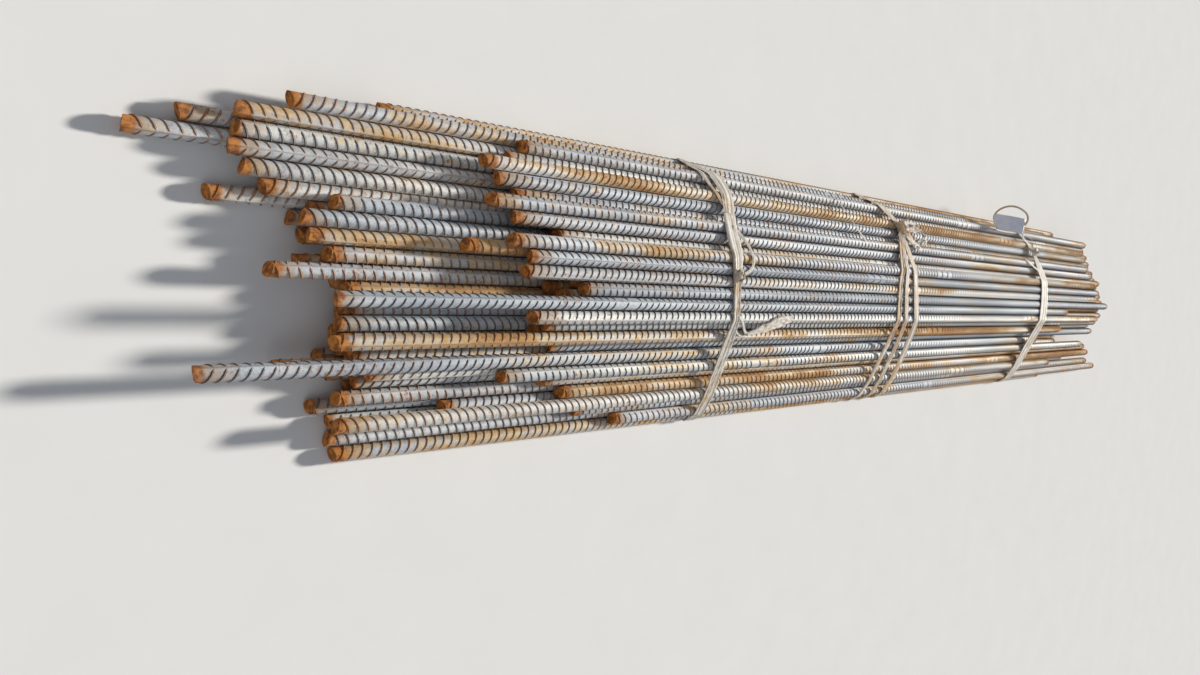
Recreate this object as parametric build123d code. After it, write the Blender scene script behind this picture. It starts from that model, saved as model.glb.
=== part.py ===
from build123d import *
import math
import os

# Bundle of straight ribbed reinforcing bars, held by plastic strapping. Millimetres.
# X runs along the bars towards their far ends, Y to the left, Z up from the ground.

# Bars. A multiple of six sides turns a corner to each of the six neighbours.
bar_diameter = 25.4
bar_length = 3048.0
bar_sides = 24

# Height that the ribs hold a bar off its neighbours and off the strapping
rib_clearance = 0.8

# Strapping: soft tape drawn round the bars and knotted by hand
strap_thickness = 1.2
near_strap_width = 28.0
near_branch_width = 16.0
near_strand_width = 10.0
middle_strap_width = 14.0
middle_end_width = 18.0
far_strap_width = 32.0
far_end_width = 7.0
side_loop_width = 7.0
tail_neck_width = 8.0
tail_width = 20.0
loose_strand_width = 8.0
knot_length = 36.0
knot_width = 24.0
knot_height = 9.0
knot_taper = 40.0

# Card tag and the band that ties it
tag_length = 112.0
tag_width = 62.0
tag_thickness = 1.0
tag_lean = 45.0
tag_at = 2700.0
tie_width = 8.0
tie_thickness = 1.2
tie_loop_length = 124.0
tie_loop_width = 86.0
seat_clearance = 0.3

# Layers from the ground up. A layer starts so many pitches in from the lowest layer's first bar,
# and each of its bars has its near end so far behind the foremost one.
layers = (
    (0.0, (310, 300, 300, 270, 330, 300, 280, 310, 330, 350, 320,
           300, 310, 250, 230, 110, 210, 190, 0, 70, 350, 380)),
    (0.5, (920, 810, 500, 300, 330, 200, 300, 290, 300, 310, 290,
           230, 300, 270, 250, 180, 150, 130, 140, 140, 220)),
    (2.0, (290, 750, 700, 340, 310, 300, 290, 300, 300, 180,
           270, 240, 230, 280, 670, 690, 660, 610, 640)),
    (4.5, (590, 70, 700, 660, 710, 740, 690, 720, 670, 730, 700, 670, 610, 570, 540)),
    (7.0, (260, 670, 730, 700, 740, 710, 490, 690, 590, 540)),
    (8.5, (620, 250, 740, 600, 610, 570)),
)

# Sizes that follow
bar_radius = bar_diameter / 2
pitch = bar_diameter + rib_clearance
layer_rise = pitch * math.sqrt(3) / 2
lowest_axis = strap_thickness + rib_clearance + bar_radius
lowest_count = len(layers[0][1])
strap_inside = bar_radius + rib_clearance
strap_middle = strap_inside + strap_thickness / 2
strap_outside = strap_inside + strap_thickness
flank = lowest_count / 2
beyond = flank + 1

# Routes of the strapping over the bars, seen from above. A point is how far behind the foremost
# bar end it lies, in millimetres, and how far left of the bundle's middle, in bar pitches.
near_right_foot = (1190, -flank)
near_left_foot = (1119, flank)
near_parting = (1196, 8.0)
near_route = (near_right_foot, (1190, 0.8), (1184, 4.4), near_parting)
near_branch = (near_parting, (1190, 9.8), near_left_foot)
near_strand = ((1184, 6.4), (1144, 9.3), near_left_foot)
near_knot = (1188, 1.8)
side_loop = ((1188, 5.4), (1226, 4.6), (1243, 3.2), (1236, 2.0), near_knot)
tail_neck = ((1190, -1.6), (1226, -2.9), (1246, -3.3))
tail_flake = ((1258, -3.2), (1320, -2.6), (1410, -1.9))

middle_left_foot = (1872, flank)
middle_knot = (1990, 7.7)
middle_right_feet = ((1915, -flank), (1976, -flank), (2044, -flank))
middle_routes = (
    (middle_right_feet[0], (1936, -3.6), (1938, 2.2), middle_knot),
    (middle_right_feet[1], (1984, -4.5), (1969, 1.6), middle_knot),
    (middle_right_feet[2], (2047, -3.9), (2021, 1.8), middle_knot),
)
middle_flank_route = (middle_knot, (1940, 9.6), middle_left_foot)
middle_ends = (
    (middle_knot, (2040, 8.0), (2112, 7.5)),
    (middle_knot, (2030, 6.4), (2092, 5.6)),
)

far_right_foot = (2972, -flank)
far_left_foot = (2900, flank)
far_left_bend = (2941, 8.9)
far_route = (far_right_foot, (2988, -7.2), (3024, 0.5), (3007, 6.6), far_left_bend, far_left_foot)
far_knot = (2996, 7.2)
far_ends = (
    (far_left_bend, (2992, 9.3), (3034, 8.4), far_knot),
    ((3012, 4.4), (2959, 4.9), (2884, 6.2)),
)

loose_strand_route = ((1693, 9.6), (1721, 7.9), (1772, 5.7))


def bar_axis(layer, place):
    """Y and Z of a bar's axis."""
    start, setbacks = layers[layer]
    across = (start + place - (lowest_count - 1) / 2) * pitch
    return across, lowest_axis + layer * layer_rise


def last_axis(layer):
    """Axis of a layer's last bar, the one furthest left."""
    return bar_axis(layer, len(layers[layer][1]) - 1)


def edge_axes():
    """Axes of the first and last bar of every layer, which carry the straps."""
    axes = []
    for layer in range(len(layers)):
        axes += [bar_axis(layer, 0), last_axis(layer)]
    return axes


def layer_of_bars(layer):
    """The bars of one layer, side by side and not touching."""
    section = Plane.YZ * RegularPolygon(bar_radius, bar_sides)
    blank = extrude(section, bar_length)
    bars = []
    for place, setback in enumerate(layers[layer][1]):
        y, z = bar_axis(layer, place)
        bars.append(Pos(setback, y, z) * blank)
    return Compound(bars)


def bundle_section(reach):
    """Outline of a band drawn tight round the bundle, so far from the outer bars' axes."""
    circles = [Edge.make_circle(reach).moved(Location((y, z, 0))) for y, z in edge_axes()]
    return make_hull(circles)


def skin(flat):
    """Tight skin of one tape's thickness round the bundle, as long as a flat shape needs."""
    box = flat.bounding_box()
    ring = bundle_section(strap_outside) - bundle_section(strap_inside)
    return extrude(Plane.YZ.offset(box.min.X - pitch) * ring, box.size.X + 2 * pitch)


def flat_tape(width, route):
    """Tape of one width along a route, seen from above, with its corners rounded."""
    points = [(x, across * pitch) for x, across in route]
    tape = Sketch()
    for start, end in zip(points, points[1:]):
        middle = ((start[0] + end[0]) / 2, (start[1] + end[1]) / 2)
        tape += SlotCenterPoint(middle, end, width)
    return tape


def over_bars(flat):
    """The skin above the lowest axes that a flat shape covers."""
    height = (len(layers) + 1) * pitch
    return skin(flat) & Pos(0, 0, lowest_axis) * extrude(flat, height)


def under_bars(flat):
    """The skin below the lowest axes that a flat shape covers."""
    return skin(flat) & Pos(0, 0, lowest_axis) * extrude(flat, -pitch)


def outwards(foot):
    """A point straight out from a foot, clear of the bundle's side."""
    x, across = foot
    return x, math.copysign(beyond, across)


def side_tape(width, foot):
    """Short flat tape out from a foot, where it turns under the bundle."""
    return flat_tape(width, (foot, outwards(foot)))


def bottom_tape(width, right_foot, left_foot):
    """Straight flat tape under the bundle, from side to side."""
    route = (outwards(right_foot), right_foot, left_foot, outwards(left_foot))
    return flat_tape(width, route)


def slope(near_axis, far_axis, reach):
    """Plane along the bars on the band between two bars' axes, its X along the bars and Z outwards."""
    y0, z0 = near_axis
    y1, z1 = far_axis
    run = math.hypot(y1 - y0, z1 - z0)
    normal = ((z0 - z1) / run, (y1 - y0) / run)
    middle = ((y0 + y1) / 2 + normal[0] * reach, (z0 + z1) / 2 + normal[1] * reach)
    return Plane(origin=(0, middle[0], middle[1]), x_dir=(1, 0, 0), z_dir=(0, normal[0], normal[1]))


def top_flat(reach):
    """The flat top, along the top layer."""
    top = len(layers) - 1
    return slope(bar_axis(top, 0), last_axis(top), reach)


def left_slope(reach):
    """The slope on the left, from the top layer's last bar down to the fourth layer's."""
    return slope(last_axis(len(layers) - 1), last_axis(3), reach)


def knot_outline():
    """Six-sided outline of a knot, pointed along the bars."""
    tip = knot_length / 2
    side = knot_width / 2
    half = ((tip, 0), (tip / 2, side), (-tip / 2, side), (-tip, 0), (-tip / 2, -side), (tip / 2, -side))
    return make_face(Polyline(*half, close=True))


def knot(plane, spot):
    """A pulled-tight knot over a point of a route, flat where it lies on its tape."""
    x, across = spot
    away = (across * pitch - plane.origin.Y) / plane.y_dir.Y
    lump = extrude(knot_outline(), knot_height, taper=knot_taper)
    return plane * Pos(x, away, 0) * lump


def near_strap():
    """The near strap: parted on the left flank, knotted on top, with a side loop and a loose tail."""
    top = flat_tape(near_strap_width, near_route)
    top += flat_tape(near_branch_width, near_branch)
    top += flat_tape(near_strand_width, near_strand)
    top += flat_tape(side_loop_width, side_loop)
    top += flat_tape(tail_neck_width, tail_neck)
    top += flat_tape(tail_width, tail_flake)
    top += side_tape(near_strap_width, near_right_foot)
    top += side_tape(near_strap_width, near_left_foot)
    bottom = bottom_tape(near_strap_width, near_right_foot, near_left_foot)
    return over_bars(top) + under_bars(bottom) + knot(top_flat(strap_middle), near_knot)


def middle_strap():
    """The middle strap: wound round three times, with its turns tied together on the left."""
    top = flat_tape(middle_end_width, middle_flank_route)
    top += side_tape(middle_end_width, middle_left_foot)
    bottom = Sketch()
    for route, foot in zip(middle_routes, middle_right_feet):
        top += flat_tape(middle_strap_width, route)
        top += side_tape(middle_strap_width, foot)
        bottom += bottom_tape(middle_strap_width, foot, middle_left_foot)
    for end in middle_ends:
        top += flat_tape(middle_end_width, end)
    return over_bars(top) + under_bars(bottom) + knot(left_slope(strap_middle), middle_knot)


def far_strap():
    """The far strap, knotted on the left, with a loop and a loose end beside its knot."""
    top = flat_tape(far_strap_width, far_route)
    for foot in (far_right_foot, far_left_foot):
        top += side_tape(far_strap_width, foot)
    for end in far_ends:
        top += flat_tape(far_end_width, end)
    bottom = bottom_tape(far_strap_width, far_right_foot, far_left_foot)
    return over_bars(top) + under_bars(bottom) + knot(left_slope(strap_middle), far_knot)


def loose_strand():
    """A torn strand of tape lying on the left flank."""
    return over_bars(flat_tape(loose_strand_width, loose_strand_route))


def tag_plane():
    """Leaning plane of the tag, its X up the tag, its Y to the left, on the third layer's last bar."""
    y, z = last_axis(2)
    rise = math.radians(tag_lean)
    seat = z + bar_radius + seat_clearance
    return Plane(origin=(tag_at, y, seat), x_dir=(math.cos(rise), 0, math.sin(rise)),
                 z_dir=(-math.sin(rise), 0, math.cos(rise)))


def card_tag():
    """A blank card leaning back on the tie's loop."""
    corner = tag_width / 12
    card = RectangleRounded(tag_length, tag_width, corner)
    middle = Pos(tag_length / 2, tag_width / 2 - bar_radius, tie_thickness)
    return tag_plane() * middle * extrude(card, tag_thickness)


def tie_loop():
    """The loop behind the tag, lying in the tag's plane, with the band that runs up into it."""
    outer = SlotOverall(tie_loop_length, tie_loop_width)
    inner = SlotOverall(tie_loop_length - 2 * tie_width, tie_loop_width - 2 * tie_width)
    ring = Pos(tie_loop_length / 2, (tie_loop_width - tie_width) / 2) * (outer - inner)
    lead = Pos(tie_loop_width / 4, 0) * Rectangle(tie_loop_width / 2, tie_width)
    return tag_plane() * extrude(ring + lead, tie_thickness)


def tag_tie():
    """Band along the third layer's last bar, from the far strap's edge to the loop behind the tag."""
    y, z = last_axis(2)
    run = (far_left_bend[0] + far_left_foot[0]) / 2 - tag_at
    base = z + bar_radius + seat_clearance + tie_thickness / 2
    strip = Pos(tag_at + run / 2, y, base) * Box(run, tie_width, tie_thickness)
    strap_room = flat_tape(far_strap_width + 2 * seat_clearance, (far_left_bend, far_left_foot))
    return tie_loop() + (strip - extrude(strap_room, base + pitch))


def all_pieces():
    """Every node's name and shape, before they are centred."""
    pieces = {f"bars_layer_{layer + 1}": layer_of_bars(layer) for layer in range(len(layers))}
    pieces["near_strap"] = near_strap()
    pieces["middle_strap"] = middle_strap()
    pieces["far_strap"] = far_strap()
    pieces["loose_strand"] = loose_strand()
    pieces["card_tag"] = card_tag()
    pieces["tag_tie"] = tag_tie()
    return pieces


def main():
    """Centre the bundle over the origin and write each node."""
    os.makedirs("parts", exist_ok=True)
    pieces = all_pieces()
    box = Compound(list(pieces.values())).bounding_box()
    middle = box.center()
    for name, shape in pieces.items():
        export_step(Pos(-middle.X, -middle.Y, -box.min.Z) * shape, f"parts/{name}.step")
    size = box.size
    print(f"bundle {size.X:.1f} x {size.Y:.1f} x {size.Z:.1f}")


main()
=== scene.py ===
import bisect
import random
from math import atan2, ceil, cos, dist, exp, hypot, pi, radians, sin, sqrt

import bpy
from mathutils import Matrix, Vector, noise


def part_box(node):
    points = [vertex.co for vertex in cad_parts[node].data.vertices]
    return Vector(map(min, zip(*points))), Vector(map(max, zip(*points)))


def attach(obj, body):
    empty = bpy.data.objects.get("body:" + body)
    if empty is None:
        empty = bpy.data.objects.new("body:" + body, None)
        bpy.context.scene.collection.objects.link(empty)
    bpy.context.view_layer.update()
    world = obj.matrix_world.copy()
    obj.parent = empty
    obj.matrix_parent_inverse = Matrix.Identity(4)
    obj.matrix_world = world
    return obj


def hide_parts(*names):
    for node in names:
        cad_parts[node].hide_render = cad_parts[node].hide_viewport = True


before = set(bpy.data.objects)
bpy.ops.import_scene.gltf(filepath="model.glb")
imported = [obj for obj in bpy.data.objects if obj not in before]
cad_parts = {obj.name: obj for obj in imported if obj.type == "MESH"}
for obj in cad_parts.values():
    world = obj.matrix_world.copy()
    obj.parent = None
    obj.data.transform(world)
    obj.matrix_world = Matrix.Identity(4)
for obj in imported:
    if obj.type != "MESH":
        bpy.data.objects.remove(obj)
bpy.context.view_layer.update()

# Sizes in metres
MM = 0.001
PITCH_GAP = 0.8 * MM          # between neighbouring bars
CORE_RADIUS = 11.9 * MM       # bar between its ribs
CORE_SIDES = 24
CORE_RINGS = 5
END_TAPER = 1600 * MM         # sets how far from the ends a bar's rings lie
END_CROWDING = 3.0            # the higher, the nearer to the ends they crowd
AT_END, AT_SEAM = 0.49, 0.99  # above these a core's point belongs to its end or its seam
CUT_SLANT = 6.5 * MM
CUT_SQUASH = 0.02             # share by which a sheared end is flatter
SEAM_HEIGHT = 1.1 * MM        # the two ribs that run along a bar
SEAM_RELIEF = 0.13            # their relief for the finish, where a rib's crest has 1
RIB_HEIGHT = 1.7 * MM
RIB_SINK = 0.4 * MM
RIB_BASE = 6.0 * MM
RIB_PITCH = 17.5 * MM
RIB_LEAN = 0.48               # advance along the bar for each metre round it
RIB_STEPS = 7
RIB_FROM, RIB_TO = radians(4), radians(176)
RIB_TIP = 0.45                # height at a rib's tips as a share of its middle's
RIB_FULLNESS = 6.0            # the higher, the nearer to its tips a rib keeps its height
SHARP_EDGE = radians(50)
BARE_REACH = 2.6 * RIB_PITCH  # each way from a bar's mark, where every other rib is missing
BARE_SPAN = (0.15, 0.85)      # shares of a bar's length between which its mark lies
BARS_A_PIECE = 11
NEIGHBOURS = 6
NEIGHBOUR_REACH = 1.1         # in pitches
HIDDEN_MARGIN = 60 * MM
DRIFT = 40                    # most that a bar's finish is shifted, so that no two look alike

STRAP_UNDERSIDE = 13.8 * MM   # from a bar's axis to the strapping
TAPE_THICKNESS = 0.5 * MM
WIDTH_DRIFT = 0.10            # share by which a tape's width drifts along it
WIDTH_RATE, EDGE_RATE = 9, 45  # how quickly the width and the frayed edge change along it
THREAD_RATE = 2.6             # how quickly the torn threads' length changes across it
CRUMPLE_RATES = (55, 1.3)     # how quickly its crumples change along it and across
KNOT_TAPE = 9 * MM
KNOT_STEPS = 44
KNOT_LESS_CREASE_SHADE = 0.12         # how much less painted crease shade the folds of a knot get
KNOT_LOOP = (0.55, 0.34, 0.22)  # a turn's half length, breadth and rise, in shares of the knot's size
KNOT_LIFT = 0.35              # of the turns' middle off the skin, in the same shares
KNOT_WOBBLE = 0.18            # of a turn's length, three times round
KNOT_ROUND = 1.1              # how often a turn goes round
KNOT_TIP = 0.25               # angle at which the turns stand off the skin
KNOT_TWISTS = (-0.2, 0.2, 0.4)
NEARLY_TURN = 6.28

SEED = 7
SEEDS = 10000
TINY = 1e-9                   # keeps a division from zero


# Reading the bars from the frame

class Bar:
    """One bar: its axis and its two ends."""

    def __init__(self, points):
        xs, ys, zs = zip(*points)
        self.start, self.end = min(xs), max(xs)
        self.y = (min(ys) + max(ys)) / 2
        self.z = (min(zs) + max(zs)) / 2


def bars_of(layer):
    """The bars of one layer, from right to left, each as wide as the layer is high."""
    low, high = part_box(layer)
    bar_room = high.z - low.z + PITCH_GAP / 2
    points = sorted((v.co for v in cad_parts[layer].data.vertices), key=lambda p: p.y)
    groups = [[points[0]]]
    for point in points[1:]:
        if point.y > groups[-1][0].y + bar_room:
            groups.append([])
        groups[-1].append(point)
    return [Bar(group) for group in groups]


LAYERS = sorted(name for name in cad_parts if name.startswith("bars_layer_"))
BARS = {layer: bars_of(layer) for layer in LAYERS}
ALL_BARS = [bar for layer in LAYERS for bar in BARS[layer]]
LOWEST = BARS[LAYERS[0]]
PITCH = LOWEST[1].y - LOWEST[0].y
MIDDLE = (LOWEST[0].y + LOWEST[-1].y) / 2
LENGTH = ALL_BARS[0].end - ALL_BARS[0].start
FRONT = min(bar.start for bar in ALL_BARS)
FLANK = len(LOWEST) / 2      # pitches from the middle to either flank


def hidden_stretch(bar):
    """Where six neighbours hide a bar all round, or an empty stretch."""
    near = [b for b in ALL_BARS
            if b is not bar and hypot(b.y - bar.y, b.z - bar.z) < PITCH * NEIGHBOUR_REACH]
    if len(near) < NEIGHBOURS:
        return bar.start, bar.start
    start = max(b.start for b in near) + HIDDEN_MARGIN
    return start, max(start, min(b.end for b in near) - HIDDEN_MARGIN)


# Node helpers

def new_tree(name, sockets):
    """Geometry node tree with named inputs; returns the tree and its input and output nodes."""
    tree = bpy.data.node_groups.new(name, "GeometryNodeTree")
    tree.interface.new_socket("Geometry", in_out="INPUT", socket_type="NodeSocketGeometry")
    for label, kind in sockets:
        tree.interface.new_socket(label, in_out="INPUT", socket_type="NodeSocket" + kind)
    tree.interface.new_socket("Geometry", in_out="OUTPUT", socket_type="NodeSocketGeometry")
    return tree, tree.nodes.new("NodeGroupInput"), tree.nodes.new("NodeGroupOutput")


class Wires:
    """Short calls that add and join the nodes of one tree."""

    def __init__(self, tree):
        self.tree = tree

    def feed(self, socket, value):
        if isinstance(value, bpy.types.NodeSocket):
            self.tree.links.new(value, socket)
        elif value is not None:
            socket.default_value = value

    def node(self, kind, inputs=(), **settings):
        made = self.tree.nodes.new(kind)
        for key, value in settings.items():
            setattr(made, key, value)
        for key, value in dict(inputs).items():
            self.feed(made.inputs[key], value)
        return made

    def first(self, kind, inputs=(), **settings):
        """The first output of a new node."""
        return self.node(kind, inputs, **settings).outputs[0]

    def math(self, operation, *values):
        made = self.node("ShaderNodeMath", operation=operation)
        for socket, value in zip(made.inputs, values):
            self.feed(socket, value)
        return made.outputs[0]

    def times(self, a, b):
        return self.math("MULTIPLY", a, b)

    def times_plus(self, a, b, c):
        return self.math("MULTIPLY_ADD", a, b, c)

    def minus(self, a, b):
        return self.math("SUBTRACT", a, b)

    def vector(self, x, y, z):
        return self.first("ShaderNodeCombineXYZ", {"X": x, "Y": y, "Z": z})

    def round_bar(self, x, radius, angle):
        """The place so far along a bar and out from its axis, at an angle round it."""
        return self.vector(x, self.times(radius, self.math("COSINE", angle)),
                           self.times(radius, self.math("SINE", angle)))

    def named(self, name):
        return self.first("GeometryNodeInputNamedAttribute", {"Name": name}, data_type="FLOAT")

    def store(self, geometry, name, value):
        return self.first("GeometryNodeStoreNamedAttribute", {
            "Geometry": geometry, "Name": name, "Value": value})

    def position(self):
        here = self.first("GeometryNodeInputPosition")
        return self.node("ShaderNodeSeparateXYZ", {"Vector": here}).outputs

    def place(self, geometry, position):
        return self.first("GeometryNodeSetPosition", {"Geometry": geometry, "Position": position})

    def unit_cylinder(self, sides, rings):
        return self.first("GeometryNodeMeshCylinder", {
            "Vertices": sides, "Side Segments": rings, "Radius": 1.0, "Depth": 1.0})

    def copies(self, points, part, rotation):
        return self.first("GeometryNodeInstanceOnPoints", {
            "Points": points, "Instance": part, "Rotation": rotation})

    def join(self, *parts):
        made = self.node("GeometryNodeJoinGeometry")
        for part in parts:
            self.feed(made.inputs[0], part)
        return made.outputs[0]

    def random(self, high, seed):
        """A number from 0 to high for each point."""
        made = self.node("FunctionNodeRandomValue", {3: high, "Seed": seed}, data_type="FLOAT")
        return made.outputs[1]


def rib_tree():
    """One closed rib round half the bar: a three-sided prism bent round it and leaning along it."""
    tree, given, result = new_tree("bar_rib", (
        ("Core radius", "Float"), ("Rib height", "Float"), ("Sink", "Float"),
        ("Base", "Float"), ("Lean", "Float"), ("From angle", "Float"), ("To angle", "Float")))
    w = Wires(tree)
    out = given.outputs
    prism = w.unit_cylinder(3, RIB_STEPS)
    x, y, z = w.position()
    share = w.math("ADD", z, 0.5)
    turn = w.minus(out["To angle"], out["From angle"])
    angle = w.times_plus(share, turn, out["From angle"])
    peak = w.math("DIVIDE", w.math("ADD", x, 0.5), 1.5)
    from_middle = w.math("ABSOLUTE", w.times(z, 2.0))
    fade = w.minus(1.0, w.math("POWER", from_middle, RIB_FULLNESS))
    height = w.times(out["Rib height"], w.times_plus(fade, 1 - RIB_TIP, RIB_TIP))
    rise = w.times(peak, w.math("ADD", height, out["Sink"]))
    radius = w.math("ADD", w.minus(out["Core radius"], out["Sink"]), rise)
    across = w.times(y, w.math("DIVIDE", out["Base"], sqrt(3)))
    lean = w.times(out["Lean"], out["Core radius"])
    along = w.times_plus(w.minus(angle, pi / 2), lean, across)
    bent = w.place(w.store(prism, "relief", peak), w.round_bar(along, radius, angle))
    w.feed(result.inputs[0], bent)
    return tree


def bar_tree():
    """Ribbed bars from one point each: a core, and pairs of mirrored ribs along it."""
    tree, given, result = new_tree("ribbed_bars", (
        ("Core radius", "Float"), ("Rib height", "Float"), ("Sink", "Float"), ("Base", "Float"),
        ("Lean", "Float"), ("Rib pitch", "Float"), ("Rib count", "Int"), ("Bar length", "Float"),
        ("Seam height", "Float"), ("End taper", "Float"), ("Cut slant", "Float"),
        ("Seed", "Int"), ("Steel", "Material")))
    w = Wires(tree)
    out = given.outputs

    # Each bar's own turn about its axis
    bars = w.store(out["Geometry"], "spin", w.random(2 * pi, out["Seed"]))
    bars = w.store(bars, "near_x", w.position()[0])

    # The core: rings crowd towards the ends, the sheared ends slant and are a little smaller
    core = w.unit_cylinder(CORE_SIDES, CORE_RINGS)
    x, y, z = w.position()
    angle = w.math("ARCTAN2", y, x)
    from_middle = w.math("ABSOLUTE", z)
    crowd = w.math("POWER", w.minus(0.5, from_middle), END_CROWDING)
    inset = w.times(crowd, out["End taper"])
    at_end = w.math("GREATER_THAN", from_middle, AT_END)
    slant = w.times(w.times_plus(w.math("COSINE", angle), 0.5, 0.5),
                   out["Cut slant"])
    inset = w.times_plus(at_end, slant, inset)
    reach = w.minus(w.times(out["Bar length"], 0.5), inset)
    along = w.times_plus(w.math("SIGN", z), reach, w.times(out["Bar length"], 0.5))
    on_seam = w.math("GREATER_THAN", w.math("ABSOLUTE", w.math("COSINE", angle)), AT_SEAM)
    girth = w.times_plus(on_seam, out["Seam height"], out["Core radius"])
    squash = w.times(w.math("ABSOLUTE", w.math("SINE", angle)), -CUT_SQUASH)
    girth = w.times(girth, w.times_plus(at_end, squash, 1.0))
    core = w.store(core, "relief", w.times(on_seam, SEAM_RELIEF))
    core = w.place(core, w.round_bar(along, girth, angle))
    turned = w.vector(w.named("spin"), 0.0, 0.0)

    # The ribs: one pair at each step, the second mirrored across the seam
    rib = w.node("GeometryNodeGroup")
    rib.node_tree = rib_tree()
    for label in ("Core radius", "Rib height", "Sink", "Base", "Lean"):
        w.feed(rib.inputs[label], out[label])
    w.feed(rib.inputs["From angle"], RIB_FROM)
    w.feed(rib.inputs["To angle"], RIB_TO)
    mirrored = w.first("GeometryNodeTransform", {"Geometry": rib.outputs[0], "Scale": (1, 1, -1)})
    pair = w.join(rib.outputs[0], w.first("GeometryNodeFlipFaces", {"Mesh": mirrored}))
    steps = w.node("GeometryNodeDuplicateElements", {"Geometry": bars, "Amount": out["Rib count"]},
                   domain="POINT")
    step = w.times(w.math("ADD", steps.outputs["Duplicate Index"], 1.0), out["Rib pitch"])
    shift = w.vector(step, 0.0, 0.0)
    moved = w.first("GeometryNodeSetPosition", {"Geometry": steps.outputs["Geometry"], "Offset": shift})

    # Ribs are left out where neighbours hide the bar, and every other one at the bar's mark
    here = w.position()[0]
    after = w.math("GREATER_THAN", here, w.named("hidden_from"))
    before = w.math("LESS_THAN", here, w.named("hidden_to"))
    unseen = w.times(after, before)
    from_mark = w.math("ABSOLUTE", w.minus(here, w.named("mark_x")))
    in_mark = w.math("LESS_THAN", from_mark, BARE_REACH)
    odd = w.math("MODULO", w.math("FLOOR", w.math("DIVIDE", here, out["Rib pitch"])), 2.0)
    bare = w.times(in_mark, w.math("ABSOLUTE", odd))
    kept = w.first("GeometryNodeDeleteGeometry",
                   {"Geometry": moved, "Selection": w.math("MAXIMUM", unseen, bare)}, domain="POINT")

    together = w.join(w.copies(bars, core, turned), w.copies(kept, pair, turned))
    real = w.first("GeometryNodeRealizeInstances", {"Geometry": together})
    smooth = w.first("GeometryNodeSetShadeSmooth", {"Geometry": real})
    crease = w.node("GeometryNodeInputMeshEdgeAngle").outputs["Unsigned Angle"]
    sharp = w.math("GREATER_THAN", crease, SHARP_EDGE)
    edged = w.first("GeometryNodeSetShadeSmooth", {
        "Geometry": smooth, "Selection": sharp, "Shade Smooth": False}, domain="EDGE")
    painted = w.first("GeometryNodeSetMaterial", {"Geometry": edged, "Material": out["Steel"]})
    w.feed(result.inputs[0], painted)
    return tree


def made_real(obj):
    """The evaluated object as a plain mesh object of the same name; the source is removed."""
    name, source = obj.name, obj.data
    depsgraph = bpy.context.evaluated_depsgraph_get()
    mesh = bpy.data.meshes.new_from_object(obj.evaluated_get(depsgraph))
    bpy.data.objects.remove(obj)
    bpy.data.meshes.remove(source)
    mesh.name = name
    return link(name, mesh)


def link(name, data):
    """A new object at the origin: a mesh, a lamp or a camera."""
    obj = bpy.data.objects.new(name, data)
    bpy.context.scene.collection.objects.link(obj)
    return obj


def finish_piece(obj, node):
    """Attaches a finished piece to the root body and hides the node it stands for."""
    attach(obj, "root")
    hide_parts(node)


def thicken(obj, thickness):
    """Gives a sheet its thickness, half to either side."""
    wall = obj.modifiers.new("thickness", "SOLIDIFY")
    wall.thickness = thickness
    wall.offset = 0


def grid_faces(base, rows, columns):
    """Faces of a grid of points that starts at a point's number and runs row by row."""
    corners = (base + r * columns + c for r in range(rows - 1) for c in range(columns - 1))
    return [(a, a + 1, a + columns + 1, a + columns) for a in corners]


def ribbed_bars(tree, steel, layer, bars, name, rng):
    """One piece of ribbed bars side by side."""
    mesh = bpy.data.meshes.new(name)
    mesh.from_pydata([(b.start, b.y, b.z) for b in bars], [], [])
    hidden_from, hidden_to = zip(*(hidden_stretch(b) for b in bars))
    columns = {
        "hidden_from": hidden_from,
        "hidden_to": hidden_to,
        "mark_x": [b.start + rng.uniform(*BARE_SPAN) * LENGTH for b in bars],
        "tone": [rng.random() for b in bars],
        "rust": [rng.random() for b in bars],
        "drift": [rng.uniform(0, DRIFT) for b in bars],
    }
    for key, values in columns.items():
        mesh.attributes.new(key, "FLOAT", "POINT").data.foreach_set("value", values)
    obj = link(name, mesh)
    modifier = obj.modifiers.new("ribs", "NODES")
    modifier.node_group = tree
    inputs = {
        "Core radius": CORE_RADIUS, "Rib height": RIB_HEIGHT, "Sink": RIB_SINK, "Base": RIB_BASE,
        "Lean": RIB_LEAN, "Rib pitch": RIB_PITCH, "Bar length": LENGTH, "Seam height": SEAM_HEIGHT,
        "Rib count": int((LENGTH - RIB_PITCH) / RIB_PITCH), "End taper": END_TAPER,
        "Cut slant": CUT_SLANT, "Seed": rng.randrange(SEEDS), "Steel": steel}
    for item in tree.interface.items_tree:
        if item.in_out == "INPUT" and item.name in inputs:
            modifier[item.identifier] = inputs[item.name]
    finish_piece(made_real(obj), layer)


def all_bars(steel):
    """Every layer's bars, in pieces of a few bars each."""
    tree = bar_tree()
    rng = random.Random(SEED)
    for layer in LAYERS:
        bars = BARS[layer]
        parts = ceil(len(bars) / BARS_A_PIECE)
        size = ceil(len(bars) / parts)
        for part in range(parts):
            some = bars[part * size:(part + 1) * size]
            ribbed_bars(tree, steel, layer, some, f"ribbed_{layer}_{part + 1}", rng)


# The tight skin round the bundle, on which the strapping lies

def convex_outline(points):
    """Convex outline of points in a plane, anticlockwise."""
    points = sorted(points)

    def chain(ordered):
        line = []
        for p in ordered:
            while len(line) > 1 and cross(line[-2], line[-1], p) <= 0:
                line.pop()
            line.append(p)
        return line[:-1]

    return chain(points) + chain(points[::-1])


def cross(a, b, c):
    """Above zero where three points in a plane turn to the left."""
    return (b[0] - a[0]) * (c[1] - a[1]) - (b[1] - a[1]) * (c[0] - a[0])


def reaches(points):
    """How far along a chain of points each of them lies."""
    reach = [0.0]
    for a, b in zip(points, points[1:]):
        reach.append(reach[-1] + dist(a, b))
    return reach


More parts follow.
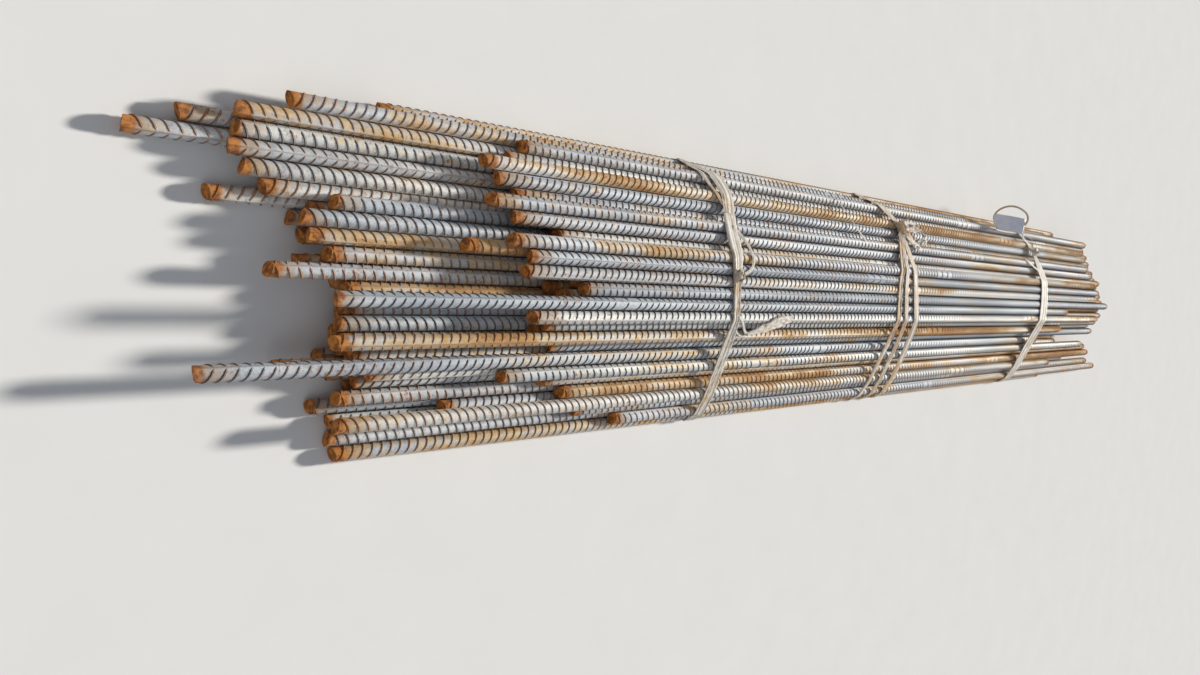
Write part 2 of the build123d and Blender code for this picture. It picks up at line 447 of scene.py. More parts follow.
def along_chain(points, reach, distance):
    """The place at a distance along a chain of points."""
    i = max(0, min(bisect.bisect_right(reach, distance) - 1, len(points) - 2))
    a, b = points[i], points[i + 1]
    share = (distance - reach[i]) / max(reach[i + 1] - reach[i], TINY)
    return a[0] + (b[0] - a[0]) * share, a[1] + (b[1] - a[1]) * share


class Skin:
    """Tight skin round all bars. Distances round it start at the left flank and go over the top."""

    ARC_STEPS = 48
    ROUNDING = 3 * MM             # how far each way a normal looks, so that tape bends smoothly
    HALVINGS = 40

    def __init__(self):
        circle = [2 * pi * k / self.ARC_STEPS for k in range(self.ARC_STEPS)]
        rim = [(b.y + STRAP_UNDERSIDE * cos(t), b.z + STRAP_UNDERSIDE * sin(t))
               for b in ALL_BARS for t in circle]
        outline = convex_outline(rim)
        furthest_left = max(range(len(outline)), key=lambda i: outline[i][0])
        self.corners = outline[furthest_left:] + outline[:furthest_left + 1]
        self.reach = reaches(self.corners)
        self.girth = self.reach[-1]
        furthest_right = min(range(len(self.corners)), key=lambda i: self.corners[i][0])
        self.right = self.reach[furthest_right]

    def point(self, s):
        """Y and Z at a distance round."""
        return along_chain(self.corners, self.reach, s % self.girth)

    def at(self, s):
        """Place and outward normal at a distance round."""
        s = s % self.girth
        ahead, behind = self.point(s + self.ROUNDING), self.point(s - self.ROUNDING)
        dy, dz = ahead[0] - behind[0], ahead[1] - behind[1]
        size = hypot(dy, dz)
        return self.point(s), (dz / size, -dy / size)

    def over(self, across):
        """Distance round to the place on the upper side that lies so many pitches left of the middle."""
        y = MIDDLE + across * PITCH
        low, high = 0.0, self.right
        for _ in range(self.HALVINGS):
            half = (low + high) / 2
            if self.point(half)[0] > y:
                low = half
            else:
                high = half
        return (low + high) / 2


SKIN = Skin()


def smooth_route(points, step):
    """Points of a route in the skin's own plane, with its corners cut three times, evenly spaced."""
    for _ in range(3):
        cut = [points[0]]
        for a, b in zip(points, points[1:]):
            for near, far in ((0.75, 0.25), (0.25, 0.75)):
                cut.append((a[0] * near + b[0] * far, a[1] * near + b[1] * far))
        cut.append(points[-1])
        points = cut
    reach = reaches(points)
    count = max(2, round(reach[-1] / step))
    return [along_chain(points, reach, reach[-1] * k / count) for k in range(count + 1)]


def on_top(route):
    """A route's points (distance behind the foremost bar, pitches left) in the skin's own plane."""
    return [(SKIN.over(across), FRONT + behind) for behind, across in route]


def rough(x, y, z):
    """Smooth noise about zero."""
    return noise.noise(Vector((x, y, z)))


class Fold:
    """Lengthwise folds of a tape: ridges that wander from side to side, with ripples and wrinkles."""

    RATES = (4, 11)               # radians a metre at which a ridge may wander
    SIZES = (0.5, 1.0)            # a ridge's share of the folds' height
    RIPPLE = 0.24
    WRINKLE = 0.42
    BODY = 0.16                   # height between the ridges
    WRINKLE_DEPTH = 0.12

    def __init__(self, rng, count, height):
        self.ridges = [(2 * (k + 0.5) / count - 1 + rng.uniform(-0.5, 0.5) / count,
                        rng.uniform(0, NEARLY_TURN), rng.uniform(*self.RATES), rng.uniform(*self.SIZES))
                       for k in range(count)]
        self.wander = min(0.28, 0.6 / count)
        self.breadth = min(0.3, 0.75 / count)
        self.height = height
        self.offset = rng.uniform(0, 100)

    def lift(self, along, across):
        """Height of the tape there, and how far up a fold the place lies, from 0 to 1."""
        high = 0.0
        for middle, phase, rate, size in self.ridges:
            wander = middle + self.wander * sin(along * rate + phase)
            wander += self.wander / 2 * rough(along * 14, middle * 9, self.offset)
            swell = 0.5 + 0.5 * sin(along * rate * 1.7 + phase * 2)
            crest = exp(-((across - wander) / self.breadth) ** 2)
            high = max(high, size * (0.45 + 0.55 * swell) * crest)
        ripple = rough(along * 60, across * 3, self.offset + 9)
        wrinkle = abs(rough(along * 95, across * 7, self.offset + 31))
        height = self.height * (high + self.RIPPLE * ripple - self.WRINKLE * wrinkle + self.BODY)
        return height, high - self.WRINKLE_DEPTH * wrinkle


def tape(name, strips, stain, plastic, node):
    """A finished piece of soft tape made of strips; stain tells how far rust has coloured it."""
    mesh = bpy.data.meshes.new(name)
    points, faces, uvs, depth = [], [], [], []
    for strip in strips:
        columns = len(strip[0][0])
        faces += grid_faces(len(points), len(strip), columns)
        for row, fold, length in strip:
            points += row
            depth += fold
            uvs += [(length, k / (columns - 1)) for k in range(columns)]
    mesh.from_pydata([tuple(p) for p in points], [], faces)
    layer = mesh.uv_layers.new(name="tape")
    for loop in mesh.loops:
        layer.data[loop.index].uv = uvs[loop.vertex_index]
    mesh.attributes.new("fold", "FLOAT", "POINT").data.foreach_set("value", depth)
    mesh.attributes.new("stain", "FLOAT", "POINT").data.foreach_set("value", [stain] * len(points))
    mesh.shade_smooth()
    mesh.materials.append(plastic)
    obj = link(name, mesh)
    thicken(obj, TAPE_THICKNESS)
    finish_piece(made_real(obj), node)


def strip_on_skin(rng, route, width, folds, height, lift=0.0, step=5 * MM, pinch=None, columns=11,
                  ragged=0.0, torn=0.0, crumple=0.0):
    """A strip of tape along a route on the skin: for each row its points, folds and way along.

    pinch gives its width's share at a share of the way, ragged its edges' stray as a share of its half
    width, torn how unevenly its threads end, and crumple how high it stands off in crumples.
    """
    fold = Fold(rng, folds, height)
    centre = smooth_route(route, step)
    strip = []
    travelled = 0.0
    for k, (s, x) in enumerate(centre):
        a, b = centre[max(k - 1, 0)], centre[min(k + 1, len(centre) - 1)]
        run = dist(a, b) or 1.0
        along = ((b[0] - a[0]) / run, (b[1] - a[1]) / run)
        side = (-along[1], along[0])
        if k:
            travelled += dist(centre[k - 1], centre[k])
        share = k / (len(centre) - 1)
        half = width / 2 * (pinch(share) if pinch else 1.0)
        half *= 1 + WIDTH_DRIFT * rough(travelled * WIDTH_RATE, fold.offset, 3)
        row, depth = [], []
        for c in range(columns):
            v = 2 * c / (columns - 1) - 1
            rise, between = fold.lift(travelled, v)
            stray = ragged * rough(travelled * EDGE_RATE, v, fold.offset) if abs(v) == 1 else 0
            edge = half * (v + stray)
            short = torn * travelled * (0.5 + 0.5 * rough(v * THREAD_RATE, fold.offset, 0))
            (y, z), (ny, nz) = SKIN.at(s + side[0] * edge - along[0] * short)
            up = lift + TAPE_THICKNESS / 2 + max(rise, 0) * min(1.0, width / half / 2)
            bulge = rough(travelled * CRUMPLE_RATES[0], v * CRUMPLE_RATES[1], fold.offset + 20)
            up += crumple * min(1.0, 3 * share) * abs(bulge)
            row.append(Vector((x + side[1] * edge - along[1] * short, y + ny * up, z + nz * up)))
            depth.append(between)
        strip.append((row, depth, travelled))
    return strip


def strip_in_air(rng, path, width, height, steps, up=Vector((0, 0, 1)), twist=0.0, folds=2, columns=7):
    """A strip of tape along a free smooth path, with so many turns of twist."""
    fold = Fold(rng, folds, height)
    curve = [path(k / steps) for k in range(steps + 1)]
    strip = []
    travelled = 0.0
    for k, point in enumerate(curve):
        ahead = curve[min(k + 1, steps)] - curve[max(k - 1, 0)]
        if k:
            travelled += (curve[k] - curve[k - 1]).length
        ahead.normalize()
        side = ahead.cross(up).normalized()
        side = Matrix.Rotation(twist * 2 * pi * k / steps, 3, ahead) @ side
        normal = side.cross(ahead)
        row, depth = [], []
        for c in range(columns):
            v = 2 * c / (columns - 1) - 1
            rise, between = fold.lift(travelled, v)
            row.append(point + side * (width / 2) * v + normal * rise)
            depth.append(between)
        strip.append((row, depth, travelled))
    return strip


def through(points):
    """Smooth path through points, as a function of the share of the way."""
    padded = [points[0] * 2 - points[1], *points, points[-1] * 2 - points[-2]]

    def path(share):
        place = min(share, 0.99999) * (len(points) - 1)
        i = int(place)
        t = place - i
        a, b, c, d = padded[i:i + 4]
        return 0.5 * (2 * b + (c - a) * t + (2 * a - 5 * b + 4 * c - d) * t ** 2
                      + (3 * b - a - 3 * c + d) * t ** 3)
    return path


def knot_strips(rng, behind, across, size, turns=3):
    """A pulled-tight knot: a few crumpled turns of tape over one another."""
    strips = []
    (y, z), (ny, nz) = SKIN.at(SKIN.over(across))
    lift = size * KNOT_LIFT
    centre = Vector((FRONT + behind, y + ny * lift, z + nz * lift))
    length, breadth, rise = (size * share for share in KNOT_LOOP)
    for _ in range(turns):
        lead = rng.uniform(0, NEARLY_TURN)
        tip = KNOT_TIP + rng.uniform(-0.5, 0.5) / 2
        flat = Matrix.Rotation(rng.uniform(0, NEARLY_TURN / 2), 3, "Z") @ Matrix.Rotation(tip, 3, "X")

        def path(share, lead=lead, flat=flat):
            t = lead + share * 2 * pi * KNOT_ROUND
            wobble = 1 + KNOT_WOBBLE * sin(3 * t)
            loop = (length * cos(t) * wobble, breadth * sin(t), rise * sin(2 * t))
            return centre + flat @ Vector(loop)
        twist = rng.choice(KNOT_TWISTS)
        strip = strip_in_air(rng, path, KNOT_TAPE, 1.0 * MM, KNOT_STEPS, twist=twist, folds=3)
        # the knot's fold values are raised, so that its folds get less painted crease shade
        strips.append([(row, [depth + KNOT_LESS_CREASE_SHADE for depth in depths], travelled)
                       for row, depths, travelled in strip])
    return strips


def pinched(*spots):
    """Width share along a strip: 1, but less near the given (share, width, reach) spots."""
    def share_at(share):
        least = 1.0
        for place, narrow, reach in spots:
            near = max(0.0, 1 - abs(share - place) / reach)
            least = min(least, 1 - (1 - narrow) * near * near * (3 - 2 * near))
        return least
    return share_at


def widths(*spots):
    """Width share along a strip, run smoothly through its (share of the way, width share) spots."""
    def share_at(share):
        for (a, before), (b, after) in zip(spots, spots[1:]):
            if share <= b:
                t = max(0.0, (share - a) / (b - a))
                return before + (after - before) * t * t * (3 - 2 * t)
        return spots[-1][1]
    return share_at


def frayed(start, end, opening=0.35, tearing=0.3):
    """Width share of a loose end: narrow at its start, full in the middle and torn to a tip."""
    def share_at(share):
        rise = min(1.0, start + share * (1 - start) / opening)
        fall = min(1.0, end + (1 - share) * (1 - end) / tearing)
        return rise * fall
    return share_at


def under(right_x, left_x):
    """Straight route under the bundle from the right foot to the left foot."""
    return [(SKIN.right, FRONT + right_x), (SKIN.girth, FRONT + left_x)]


# Routes of the strapping: metres behind the foremost bar end, and pitches left of the middle

NEAR_RIGHT = 1.190
NEAR_LEFT = 1.119
NEAR_PARTING = (1.190, 6.6)
NEAR_ROUTE = ((NEAR_RIGHT, -FLANK), (1.192, -6.0), (1.189, 0.8), (1.184, 4.4), NEAR_PARTING)
NEAR_BRANCH = (NEAR_PARTING, (1.200, 8.4), (1.186, 9.9), (1.140, 10.7), (NEAR_LEFT, FLANK))
NEAR_STRAND = (NEAR_PARTING, (1.172, 7.6), (1.144, 9.3), (NEAR_LEFT, FLANK))
NEAR_KNOT = (1.188, 1.5)
SIDE_LOOP = ((1.190, 5.5), (1.212, 5.0), (1.236, 4.0), (1.246, 2.8), (1.236, 1.9), (1.192, 1.5))
TAIL_NECK = ((1.190, -1.6), (1.212, -2.2), (1.236, -3.2), (1.250, -3.3))
TAIL_TWIN = ((1.192, -2.6), (1.210, -3.3), (1.236, -3.6), (1.250, -3.3))
TAIL_FLAKE = ((1.246, -3.35), (1.270, -3.15), (1.320, -2.6), (1.370, -2.15), (1.418, -1.85))

MIDDLE_LEFT = 1.872
MIDDLE_KNOT = (1.990, 7.7)
MIDDLE_TURNS = (
    ((1.903, -FLANK), (1.920, -7.0), (1.932, -3.6), (1.932, 0.0), (1.932, 2.4), MIDDLE_KNOT),
    ((1.968, -FLANK), (1.976, -8.0), (1.984, -4.5), (1.972, -1.0), (1.965, 2.2), MIDDLE_KNOT),
    ((2.036, -FLANK), (2.048, -8.0), (2.047, -3.9), (2.030, -0.6), (2.019, 2.2), MIDDLE_KNOT),
)
MIDDLE_FLANK = (MIDDLE_KNOT, (1.962, 8.8), (1.936, 9.7), (MIDDLE_LEFT, FLANK))
MIDDLE_ENDS = (
    (MIDDLE_KNOT, (2.015, 8.1), (2.060, 8.2), (2.116, 7.6)),
    (MIDDLE_KNOT, (2.018, 6.9), (2.046, 6.0), (2.090, 5.3)),
    (MIDDLE_KNOT, (2.020, 7.4), (2.075, 7.5), (2.108, 6.9), (2.090, 6.2), (2.040, 6.6)),
)

FAR_RIGHT = 2.978
FAR_LEFT = 2.900
FAR_ROUTE = ((FAR_RIGHT, -FLANK), (2.986, -9.0), (3.000, -6.0), (3.024, -2.5), (3.034, 0.5), (3.022, 3.4),
             (3.008, 6.0), (2.990, 7.5), (2.941, 9.1), (FAR_LEFT, FLANK))
FAR_KNOT = (3.000, 7.0)
FAR_LOOP = ((2.945, 9.0), (2.985, 9.6), (3.030, 9.0), (3.036, 8.2), FAR_KNOT)
FAR_END = ((3.014, 4.4), (2.985, 4.6), (2.950, 5.1), (2.884, 6.2))

LOOSE_STRAND = ((1.690, 9.7), (1.706, 8.8), (1.721, 7.9), (1.748, 6.7), (1.774, 5.7))


def near_strap(plastic):
    """The near strap: one broad tape that parts on the left flank, with a side loop and a tail."""
    rng = random.Random(SEED + 1)
    narrowed = widths((0, 0.75), (0.40, 0.82), (0.56, 0.58), (0.68, 0.60), (0.90, 1.0), (1, 0.95))
    branch = widths((0, 0.92), (0.40, 1.0), (1, 0.5))
    strand = widths((0, 0.4), (0.35, 0.5), (0.75, 1.0), (1, 0.8))
    strips = [
        strip_on_skin(rng, on_top(NEAR_ROUTE), 44 * MM, 5, 3.2 * MM, ragged=0.05, columns=17,
                      pinch=narrowed),
        strip_on_skin(rng, on_top(NEAR_BRANCH), 42 * MM, 5, 3.2 * MM, ragged=0.06, columns=17,
                      pinch=branch),
        strip_on_skin(rng, on_top(NEAR_STRAND), 22 * MM, 3, 2.2 * MM, pinch=strand),
        strip_on_skin(rng, under(NEAR_RIGHT, NEAR_LEFT), 26 * MM, 3, 0.2 * MM),
        strip_on_skin(rng, on_top(SIDE_LOOP), 11 * MM, 3, 2.0 * MM, lift=0.8 * MM, columns=9,
                      pinch=pinched((1.0, 0.5, 0.3))),
        strip_on_skin(rng, on_top(TAIL_NECK), 7 * MM, 2, 1.2 * MM, lift=1.0 * MM, columns=7),
        strip_on_skin(rng, on_top(TAIL_TWIN), 5 * MM, 1, 1.0 * MM, lift=0.6 * MM, columns=5),
        strip_on_skin(rng, on_top(TAIL_FLAKE), 26 * MM, 4, 3.0 * MM, lift=1.2 * MM, step=3 * MM,
                      ragged=0.25, torn=0.15, crumple=5 * MM, columns=13, pinch=frayed(0.25, 0.3)),
    ]
    strips += knot_strips(rng, *NEAR_KNOT, 22 * MM)
    tape("near_strap_tape", strips, 0.4, plastic, "near_strap")


def middle_strap(plastic):
    """The middle strap: three turns of tape, knotted together on the left, with crumpled ends."""
    rng = random.Random(SEED + 2)
    spread = widths((0, 0.9), (0.3, 1.0), (0.7, 0.85), (0.85, 0.8), (1, 0.45))
    strips = []
    for number, (route, width) in enumerate(zip(MIDDLE_TURNS, (22, 24, 32))):
        strips.append(strip_on_skin(
            rng, on_top(route), width * MM, 2, 2.4 * MM, lift=number * 0.3 * MM, columns=13,
            ragged=0.06, pinch=spread))
        strips.append(strip_on_skin(rng, under(route[0][0], MIDDLE_LEFT), 14 * MM, 2, 0.2 * MM, columns=7))
    strips.append(strip_on_skin(rng, on_top(MIDDLE_FLANK), 30 * MM, 4, 2.6 * MM, ragged=0.08, columns=13))
    for number, (route, width) in enumerate(zip(MIDDLE_ENDS, (30, 32, 20))):
        strips.append(strip_on_skin(
            rng, on_top(route), width * MM, 3, 4.0 * MM, lift=(1.0 + number) * MM, step=3 * MM,
            ragged=0.3, torn=0.3, crumple=12 * MM, pinch=frayed(0.35, 0.8)))
    strips += knot_strips(rng, *MIDDLE_KNOT, 24 * MM, turns=4)
    tape("middle_strap_tape", strips, 1.0, plastic, "middle_strap")


def far_strap(plastic):
    """The far strap: broad on top, gathered to a knot on the left, with a loop and a loose end."""
    rng = random.Random(SEED + 3)
    gathered = widths((0, 0.85), (0.3, 1.0), (0.62, 0.9), (0.74, 0.5), (0.80, 0.3), (1, 0.45))
    strips = [
        strip_on_skin(rng, on_top(FAR_ROUTE), 66 * MM, 5, 3.0 * MM, ragged=0.04, columns=19,
                      pinch=gathered),
        strip_on_skin(rng, under(FAR_RIGHT, FAR_LEFT), 30 * MM, 3, 0.2 * MM),
        strip_on_skin(rng, on_top(FAR_LOOP), 6 * MM, 2, 2.0 * MM, lift=1.5 * MM, columns=7),
        strip_on_skin(rng, on_top(FAR_END), 8 * MM, 2, 1.6 * MM, lift=1.0 * MM, columns=7,
                      pinch=frayed(0.9, 0.2)),
    ]
    strips += knot_strips(rng, *FAR_KNOT, 22 * MM)
    tape("far_strap_tape", strips, 0.0, plastic, "far_strap")


def loose_strand(plastic):
    """A torn strand of tape on the left flank, ending in a small flake."""
    rng = random.Random(SEED + 4)
    strip = strip_on_skin(rng, on_top(LOOSE_STRAND), 8 * MM, 2, 1.6 * MM, lift=0.3 * MM, ragged=0.15,
                          columns=7, pinch=pinched((0.45, 0.45, 0.4), (0.0, 0.6, 0.2)))
    tape("loose_strand_tape", [strip], 0.5, plastic, "loose_strand")


# The tag and its tie

CARD_ROWS, CARD_COLUMNS = 40, 24
CARD_THICKNESS = 0.7 * MM
CARD_ROOM = (8 * MM, 10 * MM)  # left free of its box along and across, for its turn and its curl
CARD_TURN = radians(8)
CARD_BOW = 9 * MM
CARD_CUP, CUP_WAVE = 3 * MM, 2.6  # bend across it, and the angle of a sine that it follows along it
CARD_LIFT = 1 * MM            # off the tie's loop
FOLD_SHARE = 0.42             # of the card's width, where its folded corner begins
FOLD_SLIDE = 1.15             # how far the folded corner slides back over the card
FOLD_SINK = 0.55              # and how far it goes behind it
TIE_TAPE = 6 * MM
TIE_FOLD = 0.5 * MM
TIE_ROOM = 4 * MM             # left free of the tie's box at either side


def tag_rise():
    """Direction up the tag, from its node's box."""
    low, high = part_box("card_tag")
    return Vector((high.x - low.x, 0, high.z - low.z)).normalized()


def card_tag(card):
    """The bare card: bowed along its length, turned a little in its plane, one corner folded back."""
    low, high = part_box("card_tag")
    length = hypot(high.x - low.x, high.z - low.z) - CARD_ROOM[0]
    width = high.y - low.y - CARD_ROOM[1]
    corner = width / 12
    rise = tag_rise()
    out = Vector((-rise.z, 0, rise.x))
    centre = (low + high) / 2
    points = []
    for r in range(CARD_ROWS + 1):
        u = length * r / CARD_ROWS
        inset = corner - sqrt(max(corner ** 2 - max(corner - min(u, length - u), 0) ** 2, 0))
        for c in range(CARD_COLUMNS + 1):
            v = (c / CARD_COLUMNS - 0.5) * (width - 2 * inset)
            across = 2 * c / CARD_COLUMNS - 1
            bow = CARD_BOW * sin(pi * u / length)
            bow -= CARD_CUP * across ** 2 * sin(CUP_WAVE * u / length)
            fold = max(0.0, (FOLD_SHARE * width - u - (v + width / 2)) / sqrt(2))
            bow -= fold * FOLD_SINK
            slide = fold * FOLD_SLIDE / sqrt(2)
            up, aside = u + slide - length / 2, v + slide
            place = rise * (up * cos(CARD_TURN) + aside * sin(CARD_TURN))
            place.y = aside * cos(CARD_TURN) - up * sin(CARD_TURN)
            points.append(tuple(centre + place + out * (bow + CARD_LIFT)))
    mesh = bpy.data.meshes.new("card_tag_sheet")
    mesh.from_pydata(points, [], grid_faces(0, CARD_ROWS + 1, CARD_COLUMNS + 1))
    mesh.shade_smooth()
    mesh.materials.append(card)
    obj = link("card_tag_sheet", mesh)
    thicken(obj, CARD_THICKNESS)
    finish_piece(made_real(obj), "card_tag")


def tag_tie(plastic):
    """The thin band from the far strap, which ends in the loop behind the tag."""
    rng = random.Random(SEED + 5)
    low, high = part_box("tag_tie")
    rise = tag_rise()
    lane = low.y + TIE_ROOM
    foot = Vector((low.x + 2 * MM, lane, low.z + 2 * MM))
    reach = (high.z - low.z) / rise.z - 6 * MM
    breadth = high.y - low.y - 2 * TIE_ROOM

    def spot(u, v):
        """Place in the loop's plane, in shares of its reach up the tag and of its breadth."""
        return foot + rise * (u * reach) + Vector((0, v * breadth, 0))

    loop = through([spot(*place) for place in (
        (0.30, 0.0), (0.10, 0.22), (0.02, 0.5), (0.14, 0.8), (0.40, 0.985),
        (0.68, 0.96), (0.93, 0.72), (0.985, 0.42), (0.86, 0.14), (0.62, 0.02))])
    run = through([Vector((high.x, lane, low.z + 1.2 * MM)),
                   Vector((high.x - 30 * MM, lane + 1 * MM, low.z + 2.2 * MM)),
                   Vector((high.x - 100 * MM, lane - 1 * MM, low.z + 1.4 * MM)),
                   Vector((low.x + 50 * MM, lane, low.z + 3.0 * MM)),
                   spot(0.12, 0.03), spot(0.34, 0.01), spot(0.62, 0.02)])
    strips = [strip_in_air(rng, loop, TIE_TAPE, TIE_FOLD, 90, up=Vector((-rise.z, 0, rise.x)), columns=5),
              strip_in_air(rng, run, TIE_TAPE, TIE_FOLD, 80, columns=5)]
    tape("tag_tie_band", strips, 0.7, plastic, "tag_tie")


# Colours of the finishes: a pair is what a patchy one runs between

BLUE_SCALE = ((0.37, 0.41, 0.46), (0.60, 0.64, 0.68))
PALE_SCALE = ((0.52, 0.535, 0.54), (0.79, 0.785, 0.75))
# painted glints of the scale
PAINTED_GLINT = (0.74, 0.74, 0.72)
DARK_FLECK = (0.13, 0.13, 0.14)
# painted highlight on the ribs' crests
PAINTED_CREST_HIGHLIGHT = (0.80, 0.80, 0.78)
GOLDEN_BLOOM = ((0.47, 0.29, 0.10), (0.74, 0.55, 0.26))
ORANGE_RUST = ((0.32, 0.12, 0.030), (0.62, 0.29, 0.075))
RUST_SPECK = (0.33, 0.125, 0.036)
END_DUST = (0.47, 0.29, 0.135)
END_RUST = ((0.20, 0.060, 0.014), (0.62, 0.24, 0.055))
CUT_FACE = ((0.20, 0.068, 0.019), (0.60, 0.225, 0.052))
# painted shade at the foot of each rib, from near black on clean bars to rust brown on rusty ones
RIB_FOOT_SHADE_AND_RUST = ((0.036, 0.032, 0.032), (0.25, 0.098, 0.028))

PALE_TAPE = ((0.80, 0.715, 0.605), (0.92, 0.87, 0.78))
TAPE_FIBRE = (0.54, 0.46, 0.37)
TAPE_THREAD = (0.46, 0.38, 0.30)
# painted shade in the tape's fold valleys
TAPE_CREASE_SHADE = (0.16, 0.125, 0.095)
TAPE_STAIN = (0.58, 0.35, 0.14)

PALE_CARD = ((0.70, 0.71, 0.80), (0.81, 0.82, 0.89))
CARD_DUST = (0.52, 0.48, 0.45)
PALE_FLOOR = ((0.87, 0.865, 0.855), (0.89, 0.885, 0.875))


class Shade(Wires):
    """Short calls for a material's nodes."""

    def __init__(self, name):
        self.material = bpy.data.materials.new(name)
        self.material.use_nodes = True
        super().__init__(self.material.node_tree)
        self.here = self.node("ShaderNodeTexCoord").outputs["Object"]

    def attribute(self, name):
        return self.node("ShaderNodeAttribute", attribute_name=name).outputs["Fac"]

    def along(self, vector):
        """The part of a place or a direction that runs along the bars."""
        return self.node("ShaderNodeSeparateXYZ", {"Vector": vector}).outputs["X"]

    def noise(self, vector, scale, detail=4.0, rough=0.55):
        return self.first("ShaderNodeTexNoise", {
            "Vector": vector, "Scale": scale, "Detail": detail, "Roughness": rough})

    def stretched(self, vector, scale, shift=None):
        return self.first("ShaderNodeMapping", {"Vector": vector, "Scale": scale, "Location": shift})

    def band(self, value, low, high, most=1.0):
        """Rises softly from 0 at low to most at high."""
        return self.first("ShaderNodeMapRange", {
            "Value": value, "From Min": low, "From Max": high, "To Max": most},
            interpolation_type="SMOOTHSTEP")

    def mix(self, share, a, b):
        made = self.node("ShaderNodeMix", data_type="RGBA")
        self.feed(made.inputs[0], share)
        for socket, value in ((made.inputs[6], a), (made.inputs[7], b)):
            self.feed(socket, (*value, 1.0) if isinstance(value, tuple) else value)
        return made.outputs[2]

    def bump(self, height, strength, distance):
        return self.first("ShaderNodeBump", {"Height": height, "Strength": strength, "Distance": distance})

    def finished(self, inputs):
        """The material, with its surface's inputs fed."""
        surface = self.tree.nodes["Principled BSDF"]
        for name, value in inputs.items():
            self.feed(surface.inputs[name], value)
        return self.material


def rebar_steel():
    """Hot-rolled ribbed steel: blue-grey scale, tan and orange rust in long streaks, rusty cut ends; painted
    shade at the ribs' feet, painted highlights on their crests and painted glints in the scale.
    """
    m = Shade("ribbed_steel")
    drift = m.attribute("drift")
    shift = m.vector(drift, drift, drift)
    relief = m.attribute("relief")
    rust_share = m.attribute("rust")
    place, half_long, long_place = (
        m.stretched(m.here, (share, 1.0, 1.0), shift) for share in (1.0, 0.35, 0.09))

    # Bare scale: some bars blue-grey, some nearly white, each patchy along its length
    patch = m.noise(long_place, 26.0, 5.0)
    fine = m.noise(place, 420.0, 3.0)
    grain = m.noise(place, 90.0, 5.0, 0.65)
    steel = m.mix(m.band(m.attribute("tone"), 0.2, 0.75), m.mix(m.band(patch, 0.35, 0.65), *BLUE_SCALE),
                  m.mix(m.band(patch, 0.3, 0.7), *PALE_SCALE))
    # painted glints: fine bright flecks lightened into the scale
    steel = m.mix(m.band(fine, 0.45, 0.75, 0.35), steel, PAINTED_GLINT)
    steel = m.mix(m.band(grain, 0.50, 0.30, 0.40), steel, DARK_FLECK)

    # A thin golden bloom first, then brown and orange where rust has gone further
    streak = m.noise(long_place, 16.0, 6.0, 0.6)
    blotch = m.noise(half_long, 24.0, 6.0, 0.65)
    spots = m.noise(place, 60.0, 6.0, 0.7)
    amount = m.times_plus(m.math("POWER", rust_share, 4.0), 0.26, m.times(streak, 0.86))
    amount = m.times_plus(blotch, 0.50, amount)
    amount = m.times_plus(m.minus(1.0, relief), 0.05, amount)
    amount = m.times_plus(m.along(m.here), 0.03, amount)
    bloom = m.band(m.times_plus(spots, 0.40, amount), 0.94, 1.12, 0.78)
    rusty = m.band(m.times_plus(spots, 0.55, amount), 1.13, 1.31, 0.85)
    colour = m.mix(bloom, steel, m.mix(m.band(spots, 0.35, 0.65), *GOLDEN_BLOOM))
    colour = m.mix(m.times(rusty, 0.85), colour, m.mix(m.band(spots, 0.35, 0.68), *ORANGE_RUST))
    specks = m.times(m.band(m.noise(place, 150.0, 4.0, 0.6), 0.55, 0.64),
                    m.band(blotch, 0.42, 0.66, 0.9))
    colour = m.mix(specks, colour, RUST_SPECK)

    # Sheared ends: rust creeps a different way up each bar, and the cut face is browner still
    travelled = m.minus(m.along(m.here), m.attribute("near_x"))
    from_end = m.math("MINIMUM", travelled, m.minus(LENGTH, travelled))
    creep = m.times_plus(spots, -0.034, m.times_plus(rust_share, -0.018, from_end))
    near_end = m.band(creep, -0.003, -0.014)
    end_dust = m.band(m.times_plus(blotch, -0.13, from_end), 0.0, -0.055, 0.55)
    colour = m.mix(end_dust, colour, END_DUST)
    colour = m.mix(m.times(near_end, 0.9), colour, m.mix(m.band(grain, 0.35, 0.62), *END_RUST))
    facing = m.along(m.node("ShaderNodeNewGeometry").outputs["True Normal"])
    face = m.band(m.math("ABSOLUTE", facing), 0.80, 0.88)
    colour = m.mix(m.times(face, 0.9), colour, m.mix(m.band(grain, 0.38, 0.62), *CUT_FACE))
    rusty = m.math("MAXIMUM", rusty, m.math("MAXIMUM", near_end, end_dust))

    # Painted shade: the foot of each rib is darkened to stand in for the ribs' shadows, mixed with real rust
    # brown on rusty bars; painted highlight: each rib's crest is lightened
    foot = m.times(m.band(relief, 0.03, 0.22, 0.84), m.band(relief, 1.04, 0.84))
    foot_shade_and_rust = m.mix(m.band(m.times_plus(rust_share, 0.45, blotch), 0.50, 0.86), *RIB_FOOT_SHADE_AND_RUST)
    colour = m.mix(foot, colour, foot_shade_and_rust)
    # painted highlight on each rib's crest, left off where the bar is rusty
    crest = m.times(m.band(relief, 0.90, 1.0, 0.35), m.minus(1.0, rusty))
    colour = m.mix(crest, colour, PAINTED_CREST_HIGHLIGHT)
    clean = m.minus(1.0, m.math("MAXIMUM", rusty, face))
    rough = m.times_plus(grain, 0.30, 0.52)
    height = m.times_plus(fine, 0.6, grain)
    return m.finished({"Base Color": colour, "Metallic": m.times(clean, 0.24),
                       "Specular IOR Level": 0.20, "Roughness": m.times_plus(rusty, 0.28, rough),
                       "Normal": m.bump(height, 0.5, 1.4 * MM)})


